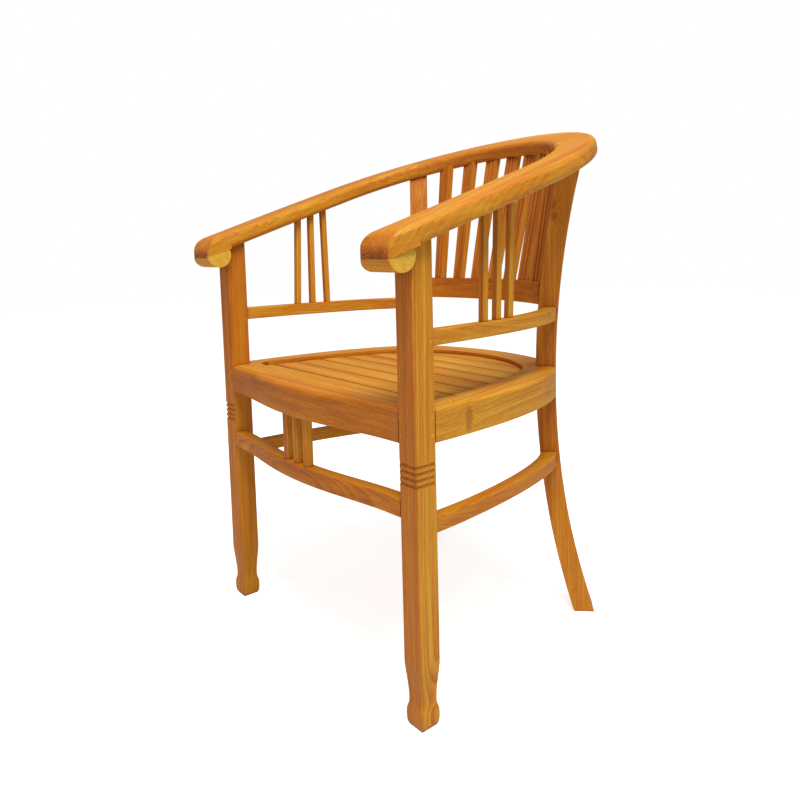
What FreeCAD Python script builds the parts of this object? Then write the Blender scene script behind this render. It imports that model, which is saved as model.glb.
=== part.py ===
import FreeCAD, Part
import math
import os

V = FreeCAD.Vector

# A wooden captain's chair. It faces -Y, +X is the sitter's left and +Z is up. All sizes are in millimetres.
# The sizes are drawn from the line through the centres of the two front legs. The last step moves every
# piece forwards by the same distance, so that the origin is the middle of the floor under the chair.

# Legs
leg_size = 36.0
front_leg_x = 262.5
foot_size = 26.0
foot_bulge_size = 32.7
foot_bulge_height = 20.0
ankle_size = 27.0
ankle_height = 40.0
foot_height = 108.0
groove_count = 4
groove_pitch = 8.8
groove_radius = 2.4
groove_depth = 2.0
groove_drop = 27.8

# Back legs: they stand on the arc of the back, are turned to face the side rails, and bend outwards
# above and below the seat
back_centre_y = 36.8
back_leg_outset = 119.6
back_leg_place = 26.5
back_leg_turn = 48.0
back_leg_width = 34.0
lower_bend_radius = 1390.0
lower_bend_top = 425.0
upper_bend_radius = 1570.0
upper_bend_bottom = 435.0

# Seat frame
seat_height = 450.0
rail_depth = 47.4
front_bow = 24.0
front_rail_width = 44.0
corner_return = 36.0
corner_size = 24.0
side_rail_width = 38.9
side_rail_reach = 75.0
back_corner_width = 58.0
back_rail_width = 45.6
front_rounding = 8.0
rail_rounding = 5.0

# Seat slats and the batten under them
slat_recess = 7.0
slat_thickness = 16.0
slat_gap = 3.0
first_gap_y = 64.5
slat_count = 8
slat_housing = 8.0
batten_width = 40.0
batten_thickness = 14.0

# Stretchers and the small spindles between the seat and the front stretcher
front_stretcher_bottom = 298.3
front_stretcher_height = 26.2
front_stretcher_width = 21.5
front_stretcher_bow = 22.0
side_stretcher_bottom = 274.0
side_stretcher_height = 22.0
side_stretcher_width = 21.7
side_stretcher_inset = 5.8
side_stretcher_end = 28.0
side_stretcher_reach = 60.0
front_spindle_size = 12.0
spindle_housing = 10.0
front_spindle_pitch = 30.0

# Arm board: arms and crest are cut from one flat horseshoe that slopes up to the back
arm_slope = 18.82
arm_height = 686.2
arm_thickness = 28.0
arm_rounding = 9.0
board_centre = 261.0
board_overhang = 46.0
board_width = 70.0
nose_toe_in = 18.5
nose_width = 62.0
nose_corner = 6.0
finger_joint_angle = 39.0
finger_count = 4
finger_length = 15.0
knuckle_radius = 22.0
knuckle_drop = 2.8

# Rails under the arms and across the back
arm_rail_bottom = 533.0
arm_rail_height = 21.4
arm_rail_width = 21.3
arm_rail_inset = 5.0
arm_rail_end = 26.0
arm_rail_reach = 87.3
back_rail_bottom = 556.0
back_rail_height = 40.0
lower_back_rail_width = 22.0
arm_spindle_size = 10.5
arm_spindle_first_y = 133.0
arm_spindle_pitch = 31.5
arm_spindle_top_first_y = 138.8
arm_spindle_top_pitch = 29.0
arm_spindle_inset = 51.6

# Back slats fan out from the lower back rail to the crest
back_slat_count = 7
back_slat_bottom_step = 6.6
back_slat_top_step = 12.3
back_slat_top_inset = 69.5
back_slat_top_centre_y = 245.0
back_slat_top_z = 820.0
back_slat_bottom_width = 23.0
back_slat_top_width = 28.9
back_slat_thickness = 13.0
back_slat_housing = 10.0
flute_spread = 0.3
flute_size = 1.7
flute_depth = 2.6

# Small roundings on the edges
edge_rounding = 1.6
spindle_rounding = 1.0
front_leg_rounding = 2.2

# Joints
tenon_length = 12.0
tenon_thickness = 10.0
tenon_shoulder = 4.0
arm_tenon_size = 18.0
peg_radius = 2.5
peg_length = 26.0
peg_edge = 6.0
front_peg_edge = 4.5
seat_peg_inset = 11.5
peg_rise = 7.5

# Places that follow from the sizes
half_leg = leg_size / 2
half_back_leg = back_leg_width / 2
board_outer_radius = front_leg_x + board_overhang
nose_outer_x = board_outer_radius - nose_toe_in
back_leg_radius = front_leg_x + back_leg_outset
back_slat_top_radius = board_outer_radius - back_slat_top_inset
leg_outer_x = front_leg_x + half_leg
leg_inner_x = front_leg_x - half_leg
rail_bottom = seat_height - rail_depth
slat_top = seat_height - slat_recess
slat_bottom = slat_top - slat_thickness
slope = math.radians(arm_slope)
leg_turn = math.radians(back_leg_turn)
underside_height = arm_height - arm_thickness / 2 / math.cos(slope)
nose_front = -half_leg - 2 * knuckle_radius
nose_s = (nose_front - arm_thickness / 2 * math.sin(slope)) / math.cos(slope)
board_inner_radius = board_outer_radius - board_width
far = 1000.0


def bezier(*points):
    """Smooth curve at z = 0 that starts and ends at the first and last point."""
    curve = Part.BezierCurve()
    curve.setPoles([V(x, y, 0) for x, y in points])
    return curve.toShape()


def line(start, end):
    return Part.makeLine(V(start[0], start[1], 0), V(end[0], end[1], 0))


def arc(start, middle, end):
    return Part.Arc(V(*start, 0), V(*middle, 0), V(*end, 0)).toShape()


def mirrored(shape):
    """The same shape on the other side of the chair."""
    return shape.mirror(V(0, 0, 0), V(1, 0, 0))


def both_sides(edges):
    return edges + [mirrored(edge) for edge in edges]


def plate(edges, low, high):
    """Solid over a closed outline, between two heights."""
    face = Part.Face(Part.Wire(Part.__sortEdges__(edges)))
    face.translate(V(0, 0, low))
    return face.extrude(V(0, 0, high - low))


def polygon(points):
    return [line(a, b) for a, b in zip(points, points[1:] + points[:1])]


def stood_up(solid):
    """Turn a drawing of length and height upright, with its thickness along X."""
    solid.rotate(V(0, 0, 0), V(1, 0, 0), 90)
    solid.rotate(V(0, 0, 0), V(0, 0, 1), 90)
    return solid


def block(x_range, y_range, z_range):
    size = [high - low for low, high in (x_range, y_range, z_range)]
    return Part.makeBox(*size, V(x_range[0], y_range[0], z_range[0]))


def round_over(solid, outline, height, radius):
    """Round the edges of the solid that lie over parts of its outline at one height."""
    middles = [edge.CenterOfMass + V(0, 0, height) for edge in outline]
    edges = [e for e in solid.Edges if any(e.CenterOfMass.distanceToPoint(m) < 0.01 for m in middles)]
    return solid.makeFillet(radius, edges)


def eased(solid, outline, low, high):
    """Slightly rounded edges along parts of an outline, below and above."""
    for height in (low, high):
        solid = round_over(solid, outline, height, edge_rounding)
    return solid


def joined(solid, *pieces):
    return solid.fuse(list(pieces)).removeSplitter()


# The back legs and what meets them are drawn in two directions: outwards from the leg's straight centre
# line, as the leg bends, and across that, towards the side rail. Across is 0 on the leg's rear flat face.

def at_back_leg(outwards, across):
    place = math.radians(back_leg_place)
    forwards = across - half_leg
    x = back_leg_radius * math.sin(place) + outwards * math.sin(leg_turn) + forwards * math.cos(leg_turn)
    y = back_leg_radius * math.cos(place) + outwards * math.cos(leg_turn) - forwards * math.sin(leg_turn)
    return (x, back_centre_y + y)


def on_leg_rear(radius):
    """How far outwards a circle about the centre of the back's arc crosses the leg's rear face."""
    x, y = at_back_leg(0, 0)
    y -= back_centre_y
    along = x * math.sin(leg_turn) + y * math.cos(leg_turn)
    return math.sqrt(radius ** 2 - x ** 2 - y ** 2 + along ** 2) - along


def back_leg_block(outwards_range, across_range, z_range):
    low, high = outwards_range
    start, end = across_range
    corners = [at_back_leg(low, start), at_back_leg(high, start),
               at_back_leg(high, end), at_back_leg(low, end)]
    return plate(polygon(corners), *z_range)


def back_leg_offset(z):
    """How far the leg's centre line is bent outwards at a height."""
    if z < lower_bend_top:
        rise = lower_bend_top - z
        return lower_bend_radius - math.sqrt(lower_bend_radius ** 2 - rise ** 2)
    rise = max(z - upper_bend_bottom, 0)
    return upper_bend_radius - math.sqrt(upper_bend_radius ** 2 - rise ** 2)


# The arm board is drawn flat and then laid on its slope.

def on_slope(solid):
    solid.rotate(V(0, 0, 0), V(1, 0, 0), arm_slope)
    solid.translate(V(0, 0, arm_height))
    return solid


def sloping_slab(low, high):
    """Everything between two distances from the middle of the arm board's thickness."""
    return on_slope(block((-far, far), (-far, far), (low, high)))


above_underside = sloping_slab(-arm_thickness / 2, far)
board_housing = sloping_slab(-arm_thickness / 2, -arm_thickness / 2 + tenon_length)
above_housing = sloping_slab(-arm_thickness / 2 + tenon_length, far)


def under_arm(solid):
    """A leg ends on the arm board's underside, with a tenon of its own inside the board."""
    return solid.cut(above_underside)


# Front legs

def foot_profile(top):
    """Half width of the front leg from the floor up, with its turned-looking foot."""
    half_foot = foot_size / 2
    half_bulge = foot_bulge_size / 2
    half_ankle = ankle_size / 2
    bulge_rise = foot_bulge_height / 2
    ankle_drop = (ankle_height - foot_bulge_height) / 2
    calf = (foot_height - ankle_height) / 3
    return [
        bezier((half_foot, 0), (half_bulge, bulge_rise / 2), (half_bulge, bulge_rise),
               (half_bulge, foot_bulge_height)),
        bezier((half_bulge, foot_bulge_height), (half_bulge, foot_bulge_height + ankle_drop),
               (half_ankle, ankle_height - ankle_drop), (half_ankle, ankle_height)),
        bezier((half_ankle, ankle_height), (half_ankle, ankle_height + calf),
               (half_leg, foot_height - calf), (half_leg, foot_height)),
        line((half_leg, foot_height), (half_leg, top)),
    ]


def leg_silhouette(top):
    """The leg's outline in one upright plane, as thick as the leg needs."""
    sides = both_sides(foot_profile(top))
    ends = [line((-foot_size / 2, 0), (foot_size / 2, 0)), line((-half_leg, top), (half_leg, top))]
    return stood_up(plate(sides + ends, -leg_size, leg_size))


def leg_grooves():
    """Round grooves across the front and the outer face, just under the seat."""
    top_groove = rail_bottom - groove_drop
    away = half_leg + groove_radius - groove_depth
    grooves = []
    for number in range(groove_count):
        z = top_groove - number * groove_pitch
        grooves.append(Part.makeCylinder(groove_radius, leg_size * 2, V(-leg_size, -away, z), V(1, 0, 0)))
        grooves.append(Part.makeCylinder(groove_radius, leg_size * 2, V(away, -leg_size, z), V(0, 1, 0)))
    return grooves


def front_leg():
    top = underside_height + leg_size
    across = leg_silhouette(top)
    along = across.copy()
    along.rotate(V(0, 0, 0), V(0, 0, 1), 90)
    column = block((-half_leg, half_leg), (-half_leg, half_leg), (0, top))
    corners = [e for e in column.Edges if abs(e.Vertexes[0].Z - e.Vertexes[-1].Z) > 1]
    column = column.makeFillet(front_leg_rounding, corners)
    solid = across.common(along).common(column).cut(leg_grooves())
    solid.translate(V(front_leg_x, 0, 0))
    half = arm_tenon_size / 2
    tenon = block((front_leg_x - half, front_leg_x + half), (-half, half), (0, far)).common(board_housing)
    return joined(under_arm(solid), tenon)


# Back legs

def back_leg_top():
    """Height where the leg's centre line meets the arm board's underside."""
    z = underside_height
    for step in range(20):
        x, y = at_back_leg(back_leg_offset(z), half_leg)
        z = underside_height + y * math.tan(slope)
    return z


def back_leg():
    """A leg bent outwards in one plane, above and below the seat frame."""
    top = back_leg_top()
    blank_top = top + 2 * leg_size
    edges = []
    ends = []
    for straight in (-half_back_leg, half_back_leg):
        lower = lower_bend_radius - straight
        upper = upper_bend_radius - straight

        def on_lower(z):
            return (straight + lower - math.sqrt(lower ** 2 - (lower_bend_top - z) ** 2), z)

        def on_upper(z):
            return (straight + upper - math.sqrt(upper ** 2 - (z - upper_bend_bottom) ** 2), z)

        edges.append(arc(on_lower(0), on_lower(lower_bend_top / 2), (straight, lower_bend_top)))
        edges.append(line((straight, lower_bend_top), (straight, upper_bend_bottom)))
        middle = on_upper((blank_top + upper_bend_bottom) / 2)
        edges.append(arc((straight, upper_bend_bottom), middle, on_upper(blank_top)))
        ends.append((on_lower(0), on_upper(blank_top)))
    edges.append(line(ends[0][0], ends[1][0]))
    edges.append(line(ends[0][1], ends[1][1]))
    solid = stood_up(plate(edges, 0, leg_size))
    solid.rotate(V(0, 0, 0), V(0, 0, 1), -back_leg_turn)
    solid.translate(V(*at_back_leg(0, 0), 0))
    centre = back_leg_offset(top)
    half = arm_tenon_size / 2
    tenon = back_leg_block((centre - half, centre + half), (half_leg - half, half_leg + half), (0, far))
    return joined(under_arm(solid), tenon.common(board_housing))


# Places on the seat frame

side_inner_x = leg_outer_x - side_rail_width
corner_y = half_leg + corner_return
bow_front = -half_leg - front_bow
opening_front = bow_front + front_rail_width
opening_back = back_centre_y + back_leg_radius + half_back_leg - back_rail_width
slat_pitch = (opening_back + slat_housing - first_gap_y) / (slat_count - 1)


def on_leg_front(inset):
    """Point on the back leg's front face, measured inwards from the leg's outer corner."""
    return at_back_leg(half_back_leg - inset, leg_size)


def ahead(point, distance):
    """Point straight in front of a place on the back leg's front face."""
    return (point[0] + distance * math.cos(leg_turn), point[1] - distance * math.sin(leg_turn))


def bow(edge_x, edge_y, centre_y):
    """Half of a bell-shaped bow, from one side of the chair to its middle."""
    fall = edge_y - centre_y
    shoulder = (edge_x * 0.62, edge_y - fall * 0.1)
    return bezier((edge_x, edge_y), shoulder, (edge_x * 0.4, centre_y), (0, centre_y))


def opening_corner(grow):
    """Front corner of the opening in the seat frame, or of the same opening grown on all sides."""
    curve = corner_size * 0.55
    corner_x = side_inner_x - corner_size
    inner_x = side_inner_x + grow
    front = corner_y - corner_size - grow
    return bezier((corner_x, front), (corner_x + curve, front),
                  (inner_x, corner_y - curve), (inner_x, corner_y))


def opening_bow(grow):
    return bow(side_inner_x - corner_size, corner_y - corner_size - grow, opening_front - grow)


def opening_side(grow):
    """Inner edge of a side rail. It runs on into the arc at the back of the opening."""
    end_x, end_y = on_leg_front(back_corner_width - grow)
    depth = opening_back + grow - end_y
    radius = (end_x ** 2 + depth ** 2) / (2 * depth)
    reach = side_rail_reach * 0.8
    turn_in = (end_x + reach * (radius - depth) / radius, end_y - reach * end_x / radius)
    pull = (end_y - corner_y) * 0.35
    front_x = side_inner_x + grow
    return bezier((front_x, corner_y), (front_x - pull * 0.1, corner_y + pull),
                  turn_in, (end_x, end_y))


def opening_rear(grow):
    end_x, end_y = on_leg_front(back_corner_width - grow)
    return arc((end_x, end_y), (0, opening_back + grow), (-end_x, end_y))


# Tenons

def leg_tenon(x_range, y_range, low, high):
    return block(x_range, y_range, (low + tenon_shoulder, high - tenon_shoulder))


def front_end_tenon(centre_y, low, high):
    """Tenon of a bar between the front legs, in the left leg."""
    half = tenon_thickness / 2
    return leg_tenon((leg_inner_x, leg_inner_x + tenon_length), (centre_y - half, centre_y + half), low, high)


def side_front_tenon(low, high):
    """Tenon of a side bar in the rear face of the front leg."""
    half = tenon_thickness / 2
    x_range = (front_leg_x - half, front_leg_x + half)
    return leg_tenon(x_range, (half_leg - tenon_length, half_leg), low, high)


def back_leg_tenon(outwards, from_front, low, high):
    """Tenon in the front or the rear flat face of the back leg."""
    half = tenon_thickness / 2
    across = (leg_size - tenon_length, leg_size) if from_front else (0, tenon_length)
    z_range = (low + tenon_shoulder, high - tenon_shoulder)
    return back_leg_block((outwards - half, outwards + half), across, z_range)


# Seat frame

def seat_front_rail():
    front = bow(leg_inner_x, -half_leg, bow_front)
    end = line((leg_inner_x, -half_leg), (leg_inner_x, corner_y))
    step = line((leg_inner_x, corner_y), (side_inner_x, corner_y))
    outline = both_sides([front, end, step, opening_corner(0), opening_bow(0)])
    solid = plate(outline, rail_bottom, seat_height)
    solid = round_over(solid, both_sides([front]), seat_height, front_rounding)
    tenon = front_end_tenon(0, rail_bottom, seat_height)
    return joined(solid, tenon, mirrored(tenon))


def seat_side_rail():
    outer_end = on_leg_front(0)
    inner_end = on_leg_front(back_corner_width)
    depth = outer_end[1] - half_leg
    outer = bezier((leg_outer_x, half_leg), (leg_outer_x, half_leg + depth * 0.53),
                   ahead(outer_end, side_rail_reach), outer_end)
    outline = [outer, line(outer_end, inner_end), opening_side(0),
               line((side_inner_x, corner_y), (leg_inner_x, corner_y)),
               line((leg_inner_x, corner_y), (leg_inner_x, half_leg)),
               line((leg_inner_x, half_leg), (leg_outer_x, half_leg))]
    solid = plate(outline, rail_bottom, seat_height)
    solid = round_over(solid, [outer], seat_height, rail_rounding)
    front_tenon = side_front_tenon(rail_bottom, seat_height)
    back_tenon = back_leg_tenon(0, True, rail_bottom, seat_height)
    return joined(solid, front_tenon, back_tenon)


def seat_back_rail():
    """Curved rail behind the seat. Its ends reach round the inner faces of the back legs."""
    outer_end = at_back_leg(half_back_leg, 0)
    inner_end = at_back_leg(-half_back_leg, 0)
    inner_front = at_back_leg(-half_back_leg, leg_size)
    outer_radius = math.hypot(outer_end[0], outer_end[1] - back_centre_y)
    outer = arc(outer_end, (0, back_centre_y + outer_radius), (-outer_end[0], outer_end[1]))
    ends = both_sides([line(outer_end, inner_end), line(inner_end, inner_front),
                       line(inner_front, on_leg_front(back_corner_width))])
    solid = plate([outer, opening_rear(0)] + ends, rail_bottom, seat_height)
    solid = round_over(solid, [outer], seat_height, rail_rounding)
    tenon = back_leg_tenon(0, False, rail_bottom, seat_height)
    return joined(solid, tenon, mirrored(tenon))


# Seat slats

def slat_field():
    """The opening with the housing groove round it, at the slats' height."""
    grow = slat_housing
    half = [opening_bow(grow), opening_corner(grow), opening_side(grow)]
    return plate(both_sides(half) + [opening_rear(grow)], slat_bottom, slat_top)


def seat_slat(field, number):
    gap_before = first_gap_y + (number - 1) * slat_pitch
    start = gap_before + slat_gap / 2 if number > 0 else -far
    end = gap_before + slat_pitch - slat_gap / 2 if number < slat_count - 1 else far
    return field.common(block((-far, far), (start, end), (0, far)))


def seat_batten():
    top = slat_bottom
    y_range = (opening_front - slat_housing, opening_back + slat_housing)
    return block((-batten_width / 2, batten_width / 2), y_range, (top - batten_thickness, top))


# Stretchers and the rails under the arms

def front_stretcher():
    low = front_stretcher_bottom
    high = low + front_stretcher_height
    rear = front_stretcher_width - half_leg
    centre = -half_leg - front_stretcher_bow
    front_edge = bow(leg_inner_x, -half_leg, centre)
    rear_edge = bow(leg_inner_x, rear, centre + front_stretcher_width)
    end = line((leg_inner_x, -half_leg), (leg_inner_x, rear))
    long_edges = both_sides([front_edge, rear_edge])
    solid = eased(plate(long_edges + both_sides([end]), low, high), long_edges, low, high)
    tenon = front_end_tenon(front_stretcher_width / 2 - half_leg, low, high)
    return joined(solid, tenon, mirrored(tenon))


def side_bar(inset, width, end_width, reach, low, height):
    """Bent bar from the front leg's rear face to the back leg's front face."""
    high = low + height
    outer_x = leg_outer_x - inset
    inner_x = outer_x - width
    outer_end = on_leg_front(0)
    inner_end = on_leg_front(end_width)
    pull = (outer_end[1] - half_leg) * 0.4
    outer = bezier((outer_x, half_leg), (outer_x - pull * 0.03, half_leg + pull),
                   ahead(outer_end, reach), outer_end)
    inner = bezier((inner_x, half_leg), (inner_x, half_leg + pull),
                   ahead(inner_end, reach * 0.87), inner_end)
    ends = [line((outer_x, half_leg), (inner_x, half_leg)), line(outer_end, inner_end)]
    solid = eased(plate([outer, inner] + ends, low, high), [outer, inner], low, high)
    back_tenon = back_leg_tenon(half_back_leg - end_width / 2, True, low, high)
    return joined(solid, side_front_tenon(low, high), back_tenon)


def side_stretcher():
    return side_bar(side_stretcher_inset, side_stretcher_width, side_stretcher_end, side_stretcher_reach,
                    side_stretcher_bottom, side_stretcher_height)


def arm_rail():
    return side_bar(arm_rail_inset, arm_rail_width, arm_rail_end, arm_rail_reach,
                    arm_rail_bottom, arm_rail_height)


def back_rail_radius():
    return back_leg_radius + back_leg_offset(back_rail_bottom + back_rail_height / 2)


def lower_back_rail():
    low = back_rail_bottom
    high = low + back_rail_height
    edges = []
    ends = []
    for side in (-lower_back_rail_width / 2, lower_back_rail_width / 2):
        radius = back_rail_radius() + side
        end = at_back_leg(on_leg_rear(radius), 0)
        edges.append(arc(end, (0, back_centre_y + radius), (-end[0], end[1])))
        ends.append(end)
    edges += both_sides([line(ends[0], ends[1])])
    tenon = back_leg_tenon(on_leg_rear(back_rail_radius()), False, low, high)
    return joined(plate(edges, low, high), tenon, mirrored(tenon))


# Slats and spindles

def level_rectangle(centre, width, depth):
    """Corners of a level rectangle, from its front left corner round to its rear left one."""
    across = V(width / 2, 0, 0)
    backwards = V(0, depth / 2, 0)
    return [centre - across - backwards, centre + across - backwards, centre + across + backwards,
            centre - across + backwards]


def bar_between(low_corners, high_corners):
    wires = [Part.makePolygon(corners + corners[:1]) for corners in (low_corners, high_corners)]
    return Part.makeLoft(wires, True, True)


def long_edges_rounded(bar):
    longest = max(edge.Length for edge in bar.Edges)
    return bar.makeFillet(spindle_rounding, [edge for edge in bar.Edges if edge.Length > longest / 2])


def at_share(low, high, share):
    """Points on the straight lines from the low ones (share 0) to the high ones (share 1)."""
    return [a + (b - a) * share for a, b in zip(low, high)]


def back_slat(number):
    """Slat that faces forwards, fans out, leans back and widens upwards, with two flutes in its front."""
    from_middle = number - (back_slat_count - 1) / 2
    low_turn = math.radians(from_middle * back_slat_bottom_step)
    high_turn = math.radians(from_middle * back_slat_top_step)
    low_z = back_rail_bottom + back_rail_height
    low_radius = back_rail_radius()
    low = V(low_radius * math.sin(low_turn), back_centre_y + low_radius * math.cos(low_turn), low_z)
    high = V(back_slat_top_radius * math.sin(high_turn),
             back_slat_top_centre_y + back_slat_top_radius * math.cos(high_turn), back_slat_top_z)
    below = -back_slat_housing / (back_slat_top_z - low_z)
    beyond = 1.25
    low_section = level_rectangle(low, back_slat_bottom_width, back_slat_thickness)
    high_section = level_rectangle(high, back_slat_top_width, back_slat_thickness)
    solid = long_edges_rounded(bar_between(at_share(low_section, high_section, below),
                                           at_share(low_section, high_section, beyond)))
    flutes = [flute(low_section, high_section, side * flute_spread, beyond) for side in (-1, 1)]
    return solid.cut(flutes).cut(above_housing)


def flute(low_section, high_section, side, beyond):
    """Groove down the front face of a back slat, above the lower rail."""
    sections = []
    for corners in (low_section, high_section):
        across = (corners[1] - corners[0]) * 0.5
        centre = corners[0] + across * (1 + side)
        half = across * (flute_size / across.Length)
        depth = (corners[3] - corners[0]).normalize() * flute_depth
        sections.append([centre - half - depth, centre + half - depth, centre + half,
                         centre + depth, centre - half])
    return bar_between(at_share(*sections, 0), at_share(*sections, beyond))


def spindle(low, high, size):
    """Square upright bar between two places, housed at both ends."""
    sections = [level_rectangle(V(*place), size, size) for place in (low, high)]
    return long_edges_rounded(bar_between(*sections))


def front_spindle(number):
    x = (number - 1) * front_spindle_pitch
    y = -half_leg - front_stretcher_bow + front_stretcher_width / 2
    low = front_stretcher_bottom + front_stretcher_height - spindle_housing
    return spindle((x, y, low), (x, y, rail_bottom + spindle_housing), front_spindle_size)


def arm_rail_centre(y):
    """Middle of the arm rail's width at a place along it."""
    section = arm_rail().common(block((0, far), (y, y + 1), (0, far)))
    return section.Solids[0].CenterOfMass.x


def arm_spindle(number):
    """Spindle between the arm rail and the arm, leaning out to the line of the arm."""
    low_y = arm_spindle_first_y + number * arm_spindle_pitch
    high_y = arm_spindle_top_first_y + number * arm_spindle_top_pitch
    low_z = arm_rail_bottom + arm_rail_height
    high_z = underside_height + high_y * math.tan(slope)
    low = V(arm_rail_centre(low_y), low_y, low_z)
    high = V(board_outer_radius - arm_spindle_inset, high_y, high_z)
    step = (high - low) * (1 / (high_z - low_z))
    beyond = high + step * arm_spindle_size * 3
    solid = spindle(low - step * spindle_housing, beyond, arm_spindle_size)
    return solid.cut(above_housing)


# Arms and crest

def board_edge(back_x, front_x):
    """One long edge of the arm board, from the nose to the start of its half circle."""
    length = board_centre - nose_s
    toe_in = back_x - front_x
    radius = (toe_in ** 2 + length ** 2) / (2 * toe_in)
    half_turn = math.asin(length / radius) / 2
    middle = (back_x - radius + radius * math.cos(half_turn), board_centre - radius * math.sin(half_turn))
    return arc((front_x, nose_s), middle, (back_x, board_centre))


def half_circle(radius):
    return arc((radius, board_centre), (0, board_centre + radius), (-radius, board_centre))


def arm_board():
    """The whole horseshoe, flat, with rounded long edges. Its lower edges stay square over the knuckles."""
    outer = both_sides([board_edge(board_outer_radius, nose_outer_x)]) + [half_circle(board_outer_radius)]
    inner_x = nose_outer_x - nose_width
    inner = both_sides([board_edge(board_inner_radius, inner_x)]) + [half_circle(board_inner_radius)]
    noses = both_sides([line((nose_outer_x, nose_s), (inner_x, nose_s))])
    half = arm_thickness / 2
    board = plate(outer + inner + noses, -half, half)
    board = round_over(board, outer + inner, half, arm_rounding)
    over_knuckles = block((-far, far), (-far, -half_leg / math.cos(slope)), (-half, 0)).common(board)
    board = round_over(board, outer + inner, -half, arm_rounding)
    return joined(board, over_knuckles)


def knuckle_place():
    """Centre of the knuckle in the upright plane along the chair."""
    y = -half_leg - knuckle_radius
    return (y, underside_height + y * math.tan(slope) - knuckle_drop)


def nose_corners():
    """Upright space that rounds the two corners of the left arm's nose and leaves the rest of it free."""
    inner_x = nose_outer_x - nose_width
    flare = 2 * (board_outer_radius - nose_outer_x) / (board_centre - nose_s)
    behind = nose_front + nose_corner
    inner = bezier((inner_x, behind), (inner_x, nose_front), (inner_x + nose_corner, nose_front))
    outer = bezier((nose_outer_x - nose_corner, nose_front), (nose_outer_x, nose_front),
                   (nose_outer_x + nose_corner * flare, behind))
    front = line((inner_x + nose_corner, nose_front), (nose_outer_x - nose_corner, nose_front))
    free = board_centre / 3
    rest = [(nose_outer_x + nose_corner * flare, behind), (nose_outer_x + (free - nose_front) * flare, free),
            (far, free), (far, far), (0, far), (0, free), (inner_x, free), (inner_x, behind)]
    return plate([inner, outer, front] + [line(a, b) for a, b in zip(rest, rest[1:])], 0, far)


def nose_limit():
    """Space behind the rounded front of the arm, which runs down into the knuckle."""
    centre_y, centre_z = knuckle_place()
    top_at_nose = arm_height + (arm_height - underside_height) + nose_front * math.tan(slope)
    radius = (top_at_nose - centre_z) * math.cos(slope) / (1 - math.sin(slope))

    def on_nose(angle):
        return (nose_front + radius + radius * math.cos(angle), centre_z + radius * math.sin(angle))

    top = math.pi / 2 + slope
    shoulder = on_nose(top)
    front = on_nose(math.pi)
    outline = [arc(front, on_nose((math.pi + top) / 2), shoulder)]
    rest = [shoulder, (shoulder[0], far), (far, far), (far, 0), (nose_front, 0), front]
    outline += [line(a, b) for a, b in zip(rest, rest[1:])]
    return stood_up(plate(outline, -far, far)).common(nose_corners())


def finger_line():
    """Zigzag across the left side of the board, from its inner to its outer edge."""
    angle = math.radians(finger_joint_angle)
    points = []
    for number in range(2 * finger_count + 1):
        radius = board_inner_radius - 4 + number * (board_width + 8) / (2 * finger_count)
        offset = finger_length / 2 if number % 2 else -finger_length / 2
        x = radius * math.cos(angle) - offset * math.sin(angle)
        s = board_centre + radius * math.sin(angle) + offset * math.cos(angle)
        points.append((x, s))
    return points


def crest_space():
    """Everything behind the two finger joints, around the flat board."""
    left = finger_line()
    right = [(-x, s) for x, s in reversed(left)]
    behind = [(far, left[-1][1]), (far, far), (-far, far), (-far, left[-1][1])]
    return plate(polygon(left + behind + right), -far, far)


def arm_pieces():
    """Crest and left arm, on their slope."""
    board = arm_board()
    space = crest_space()
    crest = on_slope(board.common(space))
    arms = on_slope(board.cut(space))
    left = block((0, far), (-far, far), (-far, far))
    return crest, arms.common(left).common(nose_limit())


def arm_knuckle():
    """Half-round block glued under the arm, against the front of the leg."""
    y, z = knuckle_place()
    start = V(nose_outer_x - nose_width, y, z)
    solid = Part.makeCylinder(knuckle_radius, nose_width, start, V(1, 0, 0))
    return solid.common(nose_corners()).cut(above_underside)


# Pegs through the tenons in the left front leg

def leg_pegs():
    seat_pegs = [rail_bottom + seat_peg_inset, seat_height - seat_peg_inset]
    front_heights = seat_pegs + [front_stretcher_bottom + peg_rise]
    outer_heights = seat_pegs + [side_stretcher_bottom + peg_rise, arm_rail_bottom + peg_rise]
    x = leg_inner_x + front_peg_edge
    y = half_leg - peg_edge
    places = [(V(x, -half_leg, z), V(0, 1, 0)) for z in front_heights]
    places += [(V(leg_outer_x, y, z), V(-1, 0, 0)) for z in outer_heights]
    return [Part.makeCylinder(peg_radius, peg_length, place, along) for place, along in places]


# The pieces, with what is cut out of each one to take its neighbours

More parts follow.
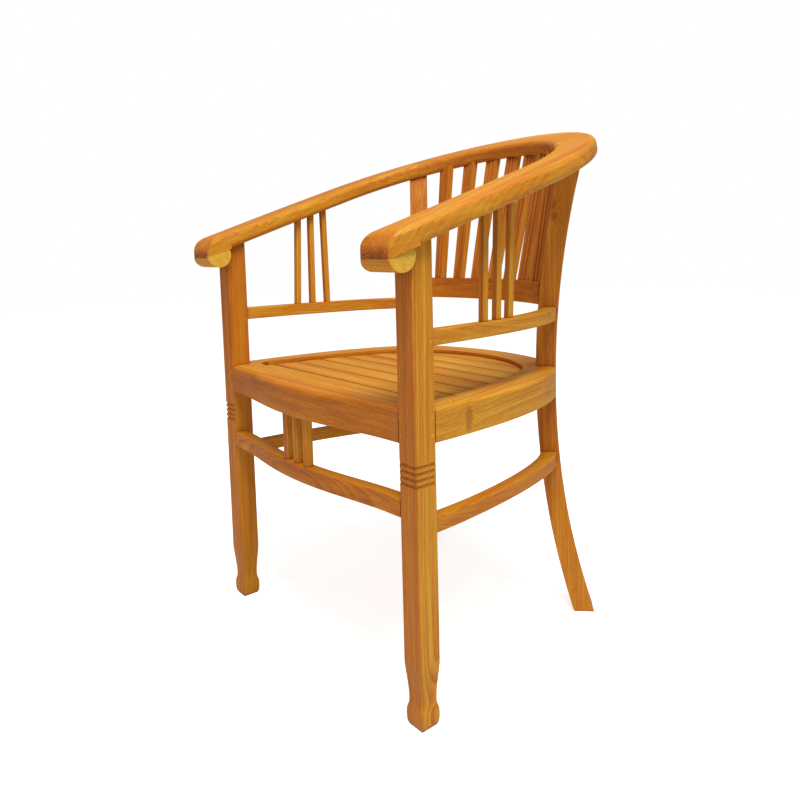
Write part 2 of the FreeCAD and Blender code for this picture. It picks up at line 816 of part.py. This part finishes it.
def chair_pieces():
    pieces = {}
    pegs = leg_pegs()
    all_pegs = pegs + [mirrored(peg) for peg in pegs]
    front_rail = seat_front_rail()
    side_rail = seat_side_rail()
    back_rail = seat_back_rail()
    stretcher = front_stretcher()
    side = side_stretcher()
    rail = arm_rail()
    lower_rail = lower_back_rail()
    crest, arm = arm_pieces()
    leg = front_leg()
    rear_leg = back_leg()
    field = slat_field()
    batten = seat_batten()
    small = [front_spindle(number) for number in range(3)]
    arm_bars = [arm_spindle(number) for number in range(3)]
    back_bars = [back_slat(number) for number in range(back_slat_count)]

    pieces["seat_front_rail"] = front_rail.cut([field, batten] + small + all_pegs)
    pieces["seat_back_rail"] = back_rail.cut([field, batten])
    pieces["seat_batten"] = batten
    pieces["front_stretcher"] = stretcher.cut(small + all_pegs)
    pieces["back_lower_rail"] = lower_rail.cut(back_bars)
    pieces["crest_rail"] = crest.cut(back_bars + [rear_leg, mirrored(rear_leg)])
    for number in range(slat_count):
        pieces["seat_slat_%d" % (number + 1)] = seat_slat(field, number)
    for number, bar in enumerate(small):
        pieces["front_spindle_%d" % (number + 1)] = bar
    for number, bar in enumerate(back_bars):
        pieces["back_slat_%d" % (number + 1)] = bar

    sided = {
        "front_leg": leg.cut([front_rail, side_rail, stretcher, side, rail] + pegs),
        "back_leg": rear_leg.cut([side_rail, back_rail, side, rail, lower_rail]),
        "seat_side_rail": side_rail.cut([field] + pegs),
        "side_stretcher": side.cut(pegs),
        "mid_arm_rail": rail.cut(arm_bars + pegs),
        "arm": arm.cut(arm_bars + [leg, rear_leg]),
        "arm_knuckle": arm_knuckle(),
    }
    for number, bar in enumerate(arm_bars):
        sided["arm_spindle_%d" % (number + 1)] = bar
    for name, solid in sided.items():
        pieces[name + "_left"] = solid
        pieces[name + "_right"] = mirrored(solid)
    pieces["joint_pegs"] = Part.makeCompound(all_pegs)
    return pieces


def middle_of_depth():
    """Half way between the front of the noses and the back of the crest."""
    half = arm_thickness / 2
    reach = (board_centre + board_outer_radius - arm_rounding) * math.cos(slope)
    rear = reach + (half - arm_rounding) * math.sin(slope) + arm_rounding
    return (nose_front + rear) / 2


os.makedirs("parts", exist_ok=True)
for name, shape in chair_pieces().items():
    shape.translate(V(0, -middle_of_depth(), 0))
    shape.exportStep("parts/" + name + ".step")
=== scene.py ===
import bpy
import math
import numpy
from mathutils import Matrix, Vector


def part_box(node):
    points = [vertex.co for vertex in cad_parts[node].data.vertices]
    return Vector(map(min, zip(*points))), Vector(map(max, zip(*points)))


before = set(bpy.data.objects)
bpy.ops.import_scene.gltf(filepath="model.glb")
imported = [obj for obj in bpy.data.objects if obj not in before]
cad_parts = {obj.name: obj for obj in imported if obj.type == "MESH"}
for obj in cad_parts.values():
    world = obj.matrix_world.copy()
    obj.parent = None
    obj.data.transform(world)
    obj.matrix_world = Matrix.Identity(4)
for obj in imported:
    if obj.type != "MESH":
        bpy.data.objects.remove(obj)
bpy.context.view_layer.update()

# A captain's chair of teak-like wood. Lengths are in metres and angles in radians.

# Camera, as solved from the photo
PHOTO_PIXELS = 800
FOCAL_PIXELS = 710.91
SENSOR_MM = 36.0
CAMERA_PLACE = Vector((0.97901, -0.83648, 0.66955))
CAMERA_YAW = 0.846586
CAMERA_PITCH = 0.101237
CAMERA_ROLL = -0.019590
CAMERA_SHIFT_X = -0.0441
CAMERA_SHIFT_Y = -0.1063

# Studio
WORLD_LIGHT = 0.42
FLOOR_HALF = 8.0
FLOOR_COLOUR = (0.80, 0.80, 0.80, 1)
FLOOR_ROUGHNESS = 0.9
FLOOR_GLOW = 0.665
LAMP_TARGET = Vector((0, 0, 0.45))
WHITE = (1, 1, 1, 1)

# Wood colours, from dark latewood to pale sapwood
WOOD_COLOURS = [
    (0.00, (0.110, 0.024, 0.002)),
    (0.22, (0.290, 0.066, 0.003)),
    (0.45, (0.460, 0.142, 0.006)),
    (0.62, (0.545, 0.242, 0.013)),
    (0.80, (0.620, 0.360, 0.038)),
    (1.00, (0.730, 0.490, 0.090)),
]
KNOT_COLOUR = (0.22, 0.065, 0.006, 1)

# Noise: a stretch is the cycles per metre along the grain, then in both directions across it
NOISE_MIDDLE = 0.5
WANDER_STRETCH = (1.7, 9.0, 9.0)
RIPPLE_STRETCH = (9.0, 40.0, 40.0)
PATCH_STRETCH = (3.0, 26.0, 26.0)
FIBRE_STRETCH = (30.0, 700.0, 700.0)
PORE_STRETCH = (75.0, 1500.0, 1500.0)
STREAK_STRETCH = (2.4, 110.0, 110.0)
BROAD_STRETCH = (1.1, 15.0, 15.0)
FINE_NOISE = 0.6

# Growth rings: how far they stray, how uneven their widths are, and the dark line that ends each
WANDER = 0.006
RIPPLE = 0.0014
UNEVEN_CYCLES = 70.0
UNEVEN_RINGS = 3.0
LINE_POWER = 2.6
LINE_TAIL = 0.16
LINE_TAIL_STRENGTH = 0.8
PATCH_RANGE = (0.30, 0.72)
FAINTEST_PATCH = 0.45
FAINTEST_RING = 0.30

# A pore opens where its noise is within or above this range
PORE_RANGE = (0.60, 0.72)

# Plain wood's place on the scale of WOOD_COLOURS, and how far each part of the look moves it
PLAIN_WOOD = 0.585
BROAD_AMOUNT = 0.36
STREAK_AMOUNT = 0.44
FIBRE_AMOUNT = 0.34
RING_AMOUNT = 0.07
PORE_AMOUNT = -0.05

# Painted shade on the same scale: faces that look to the chair's front are painted darker, and so are
# grooves, flutes and gaps
FRONT = (0, -1, 0)
FRONT_PAINTED_SHADE = 0.15
CREVICE_REACH = 0.006
CREVICE_SAMPLES = 8
CREVICE_RANGE = (0.25, 0.85)
CREVICE_PAINTED_SHADE = 0.42

# End grain shows where a face looks along the grain, by the cosine between the two
END_GRAIN_RANGE = (0.70, 0.97)

# Surface
PLAIN_ROUGHNESS = 0.48
FIBRE_ROUGHNESS = 0.14
PORE_ROUGHNESS = 0.15
FIBRE_HEIGHT = 0.5
LINE_HEIGHT = -0.35
PORE_DEPTH = 0.5
BUMP_STRENGTH = 0.35
BUMP_HEIGHT = 0.0004
SPECULAR = 0.22

# Knots: the rings swirl about them, and distances are in units of a knot's own size
WOBBLE_STRETCH = (120.0, 120.0, 120.0)
WOBBLE = 0.9
SWIRL_RANGE = (0.2, 3.6)
SWIRL_RINGS = 2.6
CORE_RANGE = (0.55, 1.25)

# Each piece is sawn from another stretch of the tree
FIRST_STRETCH = 0.11
NEXT_STRETCH = 0.37


class Look:
    """The wood of a piece.

    pith_side: the side of the piece on which the tree's pith lies
    pith: the pith's offset across the piece and in depth
    ring: the width of a growth ring
    tone: paler above 0, darker below
    figure: the strength of the rings' dark lines
    end: how much darker the end grain is
    grain: the direction of the grain, along the piece where it is None
    knots: a place, a size and a darkness for each knot
    """

    def __init__(self, pith_side, pith, ring, tone, figure, end=0.20, grain=None, knots=()):
        self.pith_side = pith_side
        self.pith = pith
        self.ring = ring
        self.tone = tone
        self.figure = figure
        self.end = end
        self.grain = grain
        self.knots = knots


# On the outer face of the seat's left side rail
SPIKE_KNOT = [((0.2795, -0.1577, 0.4250), (0.020, 0.0075, 0.020), 0.50)]

# One above the other on an edge of the left back leg
EDGE_KNOTS = [
    ((0.1920, 0.1343, 0.7334), (0.006, 0.006, 0.012), 0.75),
    ((0.1932, 0.1354, 0.7112), (0.006, 0.006, 0.009), 0.70),
]

# The first name that a piece starts with gives its look
LOOKS = [
    ("arm_knuckle", Look((0, 0, 1), (0.020, 0.050), 0.0036, 0.10, 0.20, end=-0.10, grain=(1, 0, 0))),
    ("arm_left", Look((-1, 0, 0), (0.020, -0.030), 0.0034, 0.02, 0.30, end=0.24)),
    ("arm_right", Look((1, 0, 0), (-0.015, -0.040), 0.0036, 0.01, 0.28, end=0.24)),
    ("crest_rail", Look((0, 0.3, -1), (0.030, 0.060), 0.0034, 0.02, 0.26, end=0.10)),
    ("front_leg_left", Look((-1, -0.5, 0), (0.012, 0.055), 0.0032, -0.02, 0.36)),
    ("front_leg_right", Look((0.6, -1, 0), (0.010, 0.060), 0.0034, -0.02, 0.30)),
    ("back_leg_left", Look((0.9, 0.6, 0), (0.010, 0.050), 0.0036, 0.02, 0.26, knots=EDGE_KNOTS)),
    ("back_leg", Look((0.9, 0.6, 0), (0.010, 0.050), 0.0036, -0.05, 0.26)),
    ("seat_front_rail", Look((0, 0.45, -1), (0.015, 0.070), 0.0032, -0.02, 0.26)),
    ("seat_side_rail_left", Look((-0.6, 0, -1), (0.018, 0.060), 0.0040, 0.05, 0.30, knots=SPIKE_KNOT)),
    ("seat_side_rail", Look((-0.6, 0, -1), (0.018, 0.060), 0.0036, 0.05, 0.26)),
    ("seat_back_rail", Look((0, -0.5, -1), (0.015, 0.070), 0.0034, 0.00, 0.26)),
    ("seat_slat", Look((0, 0.2, -1), (0.010, 0.065), 0.0036, 0.03, 0.22)),
    ("seat_batten", Look((0, 0.2, -1), (0.010, 0.065), 0.0036, -0.02, 0.24)),
    ("back_slat", Look((1, 0.5, 0), (0.012, 0.060), 0.0034, -0.03, 0.26)),
    ("back_lower_rail", Look((0, 0.6, -1), (0.010, 0.055), 0.0034, -0.04, 0.26)),
    ("joint_pegs", Look((0, 0, 1), (0.003, 0.010), 0.0020, 0.10, 0.20, end=0.0, grain=(0.6, 0.8, 0))),
    ("", Look((0.2, 1, 0.3), (0.008, 0.050), 0.0034, 0.01, 0.26)),
]


class Graph:
    """Short ways to add and join the nodes of one node tree."""

    def __init__(self, tree):
        self.tree = tree

    def add(self, kind, inputs=(), **settings):
        node = self.tree.nodes.new(kind)
        for name, value in settings.items():
            setattr(node, name, value)
        for place, value in dict(inputs).items():
            self.put(node.inputs[place], value)
        return node

    def put(self, socket, value):
        if isinstance(value, bpy.types.NodeSocket):
            self.tree.links.new(value, socket)
        else:
            socket.default_value = value

    def math(self, operation, *values):
        return self.add("ShaderNodeMath", enumerate(values), operation=operation).outputs[0]

    def vector(self, operation, *values):
        node = self.add("ShaderNodeVectorMath", enumerate(values), operation=operation)
        return node.outputs["Value" if operation in ("DOT_PRODUCT", "LENGTH") else "Vector"]

    def range(self, value, low, high, new_low=0.0, new_high=1.0, smooth=True):
        kind = "SMOOTHSTEP" if smooth else "LINEAR"
        places = enumerate((value, low, high, new_low, new_high))
        return self.add("ShaderNodeMapRange", places, interpolation_type=kind).outputs[0]

    def noise(self, place, stretch, detail, roughness=0.5):
        scaled = self.vector("MULTIPLY", place, stretch)
        inputs = {"Vector": scaled, "Scale": 1.0, "Detail": detail, "Roughness": roughness}
        return self.add("ShaderNodeTexNoise", inputs)

    def stray(self, place, stretch, detail, reach):
        """A shift across the grain that varies from place to place."""
        noise = self.noise(place, stretch, detail).outputs["Color"]
        centred = self.vector("SUBTRACT", noise, (NOISE_MIDDLE, NOISE_MIDDLE, NOISE_MIDDLE))
        return self.vector("MULTIPLY", centred, (0.0, reach, reach))

    def ramp(self, value, stops):
        node = self.add("ShaderNodeValToRGB", {0: value})
        elements = node.color_ramp.elements
        while len(elements) < len(stops):
            elements.new(0.5)
        for element, (position, colour) in zip(elements, stops):
            element.position = position
            element.color = (*colour, 1)
        return node.outputs[0]

    def mix(self, factor, first, second):
        """Mix two colours, which are the sockets 6 and 7 of Blender's Mix node."""
        node = self.add("ShaderNodeMix", data_type="RGBA")
        for place, value in ((0, factor), (6, first), (7, second)):
            self.put(node.inputs[place], value)
        return node.outputs[2]


def wood_group():
    """Sawn wood: growth rings about the X axis, fibres along it, pores, broad streaks and end grain, less
    the painted shade given as Shade.
    """
    tree = bpy.data.node_groups.new("sawn_wood", "ShaderNodeTree")
    for name, kind in [
        ("Place", "Vector"), ("End", "Float"), ("Ring", "Float"), ("Tone", "Float"),
        ("Figure", "Float"), ("Swirl", "Float"), ("Knot", "Float"), ("Shade", "Float"),
    ]:
        tree.interface.new_socket(name, in_out="INPUT", socket_type="NodeSocket" + kind)
    for name, kind in [("Colour", "Color"), ("Roughness", "Float"), ("Height", "Float")]:
        tree.interface.new_socket(name, in_out="OUTPUT", socket_type="NodeSocket" + kind)
    g = Graph(tree)
    given = g.add("NodeGroupInput").outputs
    result = g.add("NodeGroupOutput").inputs
    place = given["Place"]

    # The rings stray slowly along the grain, and their widths vary
    wander = g.stray(place, WANDER_STRETCH, 2.0, WANDER)
    ripple = g.stray(place, RIPPLE_STRETCH, 1.0, RIPPLE)
    moved = g.vector("ADD", g.vector("ADD", place, wander), ripple)
    radius = g.vector("LENGTH", g.vector("MULTIPLY", moved, (0.0, 1.0, 1.0)))
    along_radius = {"W": g.math("MULTIPLY", radius, UNEVEN_CYCLES), "Scale": 1.0, "Detail": 1.0}
    uneven = g.add("ShaderNodeTexNoise", along_radius, noise_dimensions="1D").outputs[0]
    uneven = g.math("MULTIPLY", uneven, UNEVEN_RINGS)
    count = g.math("ADD", g.math("DIVIDE", radius, given["Ring"]), uneven)
    count = g.math("ADD", count, given["Swirl"])
    ring = g.math("FRACT", count)
    whole = {"W": g.math("FLOOR", count)}
    ring_tone = g.add("ShaderNodeTexWhiteNoise", whole, noise_dimensions="1D").outputs[0]

    # Each ring darkens slowly to a dark line, which fades fast into the next ring
    rise = g.math("POWER", ring, LINE_POWER)
    fall = g.range(ring, 0.0, LINE_TAIL, 1.0, 0.0)
    line = g.math("MAXIMUM", rise, g.math("MULTIPLY", fall, LINE_TAIL_STRENGTH))
    patches = g.noise(place, PATCH_STRETCH, 2.0).outputs[0]
    patches = g.range(patches, *PATCH_RANGE, FAINTEST_PATCH, 1.0)
    strength = g.math("MULTIPLY", patches, g.range(ring_tone, 0.0, 1.0, FAINTEST_RING, 1.0))
    line = g.math("MULTIPLY", line, strength)

    # Fibres, pores and streaks
    fibre = g.noise(place, FIBRE_STRETCH, 3.0, FINE_NOISE).outputs[0]
    pore = g.noise(place, PORE_STRETCH, 1.0).outputs[0]
    pore = g.range(pore, *PORE_RANGE)
    streak = g.noise(place, STREAK_STRETCH, 3.0, FINE_NOISE).outputs[0]
    broad = g.noise(place, BROAD_STRETCH, 1.0).outputs[0]

    value = g.math("ADD", PLAIN_WOOD, given["Tone"])
    for part, middle, amount in (
        (broad, NOISE_MIDDLE, BROAD_AMOUNT),
        (streak, NOISE_MIDDLE, STREAK_AMOUNT),
        (fibre, NOISE_MIDDLE, FIBRE_AMOUNT),
        (ring_tone, NOISE_MIDDLE, RING_AMOUNT),
        (pore, 0.0, PORE_AMOUNT),
    ):
        value = g.math("ADD", value, g.math("MULTIPLY", g.math("SUBTRACT", part, middle), amount))
    value = g.math("SUBTRACT", value, g.math("MULTIPLY", line, given["Figure"]))
    value = g.math("SUBTRACT", value, given["End"])
    # Painted shade: the Shade input darkens faces that look to the chair's front, and crevices
    value = g.math("SUBTRACT", value, given["Shade"])
    colour = g.mix(given["Knot"], g.ramp(value, WOOD_COLOURS), KNOT_COLOUR)

    rough = g.math("ADD", PLAIN_ROUGHNESS, g.math("MULTIPLY", fibre, FIBRE_ROUGHNESS))
    rough = g.math("ADD", rough, g.math("MULTIPLY", pore, PORE_ROUGHNESS))
    height = g.math("ADD", g.math("MULTIPLY", fibre, FIBRE_HEIGHT), g.math("MULTIPLY", line, LINE_HEIGHT))
    height = g.math("SUBTRACT", height, g.math("MULTIPLY", pore, PORE_DEPTH))
    g.put(result["Colour"], colour)
    g.put(result["Roughness"], rough)
    g.put(result["Height"], height)
    return tree


def look_of(name):
    for start, look in LOOKS:
        if name.startswith(start):
            return look


def long_axis(node):
    """The direction in which a piece is longest."""
    points = numpy.empty(len(node.data.vertices) * 3, numpy.float32)
    node.data.vertices.foreach_get("co", points)
    points = points.reshape(-1, 3).astype(float)
    points -= points.mean(axis=0)
    axis = Vector(numpy.linalg.eigh(points.T @ points)[1][:, 2])
    strongest = max(axis, key=abs)
    return axis.normalized() * (1 if strongest > 0 else -1)


def turned_frame(grain, towards_pith):
    """Rotation that brings the grain to X and the side of the pith to Z."""
    side = (towards_pith - grain * towards_pith.dot(grain)).normalized()
    return Matrix((grain, side.cross(grain), side))


def knotted(g, where, knots):
    """How many rings the knots add about a place, and how dark they make it."""
    swirl, knot = 0.0, 0.0
    for spot, size, dark in knots:
        away = g.vector("SUBTRACT", where, spot)
        away = g.vector("DIVIDE", away, size)
        wobble = g.noise(where, WOBBLE_STRETCH, 2.0).outputs[0]
        wobble = g.math("MULTIPLY", g.math("SUBTRACT", wobble, NOISE_MIDDLE), WOBBLE)
        distance = g.math("ADD", g.vector("LENGTH", away), wobble)
        near = g.math("MULTIPLY", g.range(distance, *SWIRL_RANGE, 1.0, 0.0), SWIRL_RINGS)
        core = g.range(distance, *CORE_RANGE, dark, 0.0)
        swirl = g.math("ADD", swirl, near)
        knot = g.math("MAXIMUM", knot, core)
    return swirl, knot


def wood_material(name, node, number, look):
    lo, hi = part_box(name)
    grain = Vector(look.grain or long_axis(node)).normalized()
    turn = turned_frame(grain, Vector(look.pith_side))
    centre = turn @ ((lo + hi) / 2)
    across, depth = look.pith
    shift = Vector((NEXT_STRETCH * number + FIRST_STRETCH, across, depth)) - centre

    material = bpy.data.materials.new("wood_" + name)
    material.use_nodes = True
    g = Graph(material.node_tree)
    shader = g.tree.nodes["Principled BSDF"]
    where = g.add("ShaderNodeTexCoord").outputs["Object"]
    turned = {"Vector": where, "Location": shift, "Rotation": turn.to_euler()}
    place = g.add("ShaderNodeMapping", turned).outputs[0]
    normal = g.add("ShaderNodeNewGeometry").outputs["Normal"]
    facing = g.math("ABSOLUTE", g.vector("DOT_PRODUCT", normal, grain))
    end = g.range(facing, *END_GRAIN_RANGE, 0.0, look.end)
    swirl, knot = knotted(g, where, look.knots)

    # Painted shade: faces that look to the chair's front are painted darker
    front_shade_mask = g.math("MAXIMUM", g.vector("DOT_PRODUCT", normal, FRONT), 0.0)
    # Painted shade in grooves, flutes and gaps: darker where the ambient occlusion finds surfaces close
    # by
    reach = {"Distance": CREVICE_REACH}
    open_air = g.add("ShaderNodeAmbientOcclusion", reach, samples=CREVICE_SAMPLES).outputs["AO"]
    crevice_painted_shade = g.range(open_air, *CREVICE_RANGE, CREVICE_PAINTED_SHADE, 0.0)
    painted_shade = g.math("ADD", g.math("MULTIPLY", front_shade_mask, FRONT_PAINTED_SHADE), crevice_painted_shade)

    wood = g.add("ShaderNodeGroup", node_tree=WOOD)
    for key, value in {
        "Place": place, "End": end, "Ring": look.ring, "Tone": look.tone,
        "Figure": look.figure, "Swirl": swirl, "Knot": knot, "Shade": painted_shade,
    }.items():
        g.put(wood.inputs[key], value)
    relief = {"Strength": BUMP_STRENGTH, "Distance": BUMP_HEIGHT, "Height": wood.outputs["Height"]}
    bump = g.add("ShaderNodeBump", relief)
    g.put(shader.inputs["Base Color"], wood.outputs["Colour"])
    g.put(shader.inputs["Roughness"], wood.outputs["Roughness"])
    g.put(shader.inputs["Normal"], bump.outputs[0])
    shader.inputs["Specular IOR Level"].default_value = SPECULAR
    return material


def make_camera():
    sine, cosine = math.sin(CAMERA_YAW), math.cos(CAMERA_YAW)
    level = math.cos(CAMERA_PITCH)
    ahead = Vector((-sine * level, cosine * level, -math.sin(CAMERA_PITCH)))
    level_right = Vector((cosine, sine, 0))
    level_up = level_right.cross(ahead)
    right = math.cos(CAMERA_ROLL) * level_right + math.sin(CAMERA_ROLL) * level_up
    up = math.cos(CAMERA_ROLL) * level_up - math.sin(CAMERA_ROLL) * level_right
    data = bpy.data.cameras.new("camera")
    data.sensor_width = SENSOR_MM
    data.lens = FOCAL_PIXELS * SENSOR_MM / PHOTO_PIXELS
    data.shift_x = CAMERA_SHIFT_X
    data.shift_y = CAMERA_SHIFT_Y
    camera = bpy.data.objects.new("camera", data)
    turn = Matrix((right, up, -ahead)).transposed().to_4x4()
    camera.matrix_world = Matrix.Translation(CAMERA_PLACE) @ turn
    bpy.context.scene.collection.objects.link(camera)
    bpy.context.scene.camera = camera


def make_lamp(name, place, size, power):
    data = bpy.data.lights.new(name, "AREA")
    data.shape = "DISK"
    data.size = size
    data.energy = power
    lamp = bpy.data.objects.new(name, data)
    lamp.location = place
    lamp.rotation_mode = "QUATERNION"
    lamp.rotation_quaternion = (LAMP_TARGET - Vector(place)).to_track_quat("-Z", "Y")
    bpy.context.scene.collection.objects.link(lamp)


def make_world():
    """A plain pale light from all sides, which the camera sees as white."""
    world = bpy.data.worlds.new("studio")
    bpy.context.scene.world = world
    world.use_nodes = True
    g = Graph(world.node_tree)
    g.tree.nodes.clear()
    path = g.add("ShaderNodeLightPath").outputs
    seen = g.math("MAXIMUM", path["Is Camera Ray"], path["Is Transmission Ray"])
    strength = g.range(seen, 0.0, 1.0, WORLD_LIGHT, 1.0, smooth=False)
    sky = g.add("ShaderNodeBackground", {"Color": WHITE, "Strength": strength})
    out = g.add("ShaderNodeOutputWorld")
    g.put(out.inputs["Surface"], sky.outputs[0])


def make_floor():
    """A plain pale floor that keeps the chair's shadow. Its glow is only for the camera."""
    half = FLOOR_HALF
    corners = [(-half, -half, 0), (half, -half, 0), (half, half, 0), (-half, half, 0)]
    mesh = bpy.data.meshes.new("floor")
    mesh.from_pydata(corners, [], [(0, 1, 2, 3)])
    floor = bpy.data.objects.new("floor", mesh)
    bpy.context.scene.collection.objects.link(floor)
    material = bpy.data.materials.new("floor")
    material.use_nodes = True
    g = Graph(material.node_tree)
    shader = g.tree.nodes["Principled BSDF"]
    shader.inputs["Base Color"].default_value = FLOOR_COLOUR
    shader.inputs["Roughness"].default_value = FLOOR_ROUGHNESS
    seen = g.add("ShaderNodeLightPath").outputs["Is Camera Ray"]
    strength = g.math("MULTIPLY", seen, FLOOR_GLOW)
    glow = g.add("ShaderNodeEmission", {"Color": WHITE, "Strength": strength})
    both = g.add("ShaderNodeAddShader", {0: shader.outputs[0], 1: glow.outputs[0]})
    g.put(g.tree.nodes["Material Output"].inputs["Surface"], both.outputs[0])
    mesh.materials.append(material)


WOOD = wood_group()
for number, (name, node) in enumerate(sorted(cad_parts.items())):
    material = wood_material(name, node, number, look_of(name))
    for slot in node.material_slots:
        slot.material = material

make_camera()
make_world()
make_floor()
make_lamp("key", (1.3, -0.7, 3.3), size=1.6, power=118)
make_lamp("front", (0.2, -3.2, 1.6), size=1.8, power=14)
bpy.context.scene.view_settings.view_transform = "Standard"
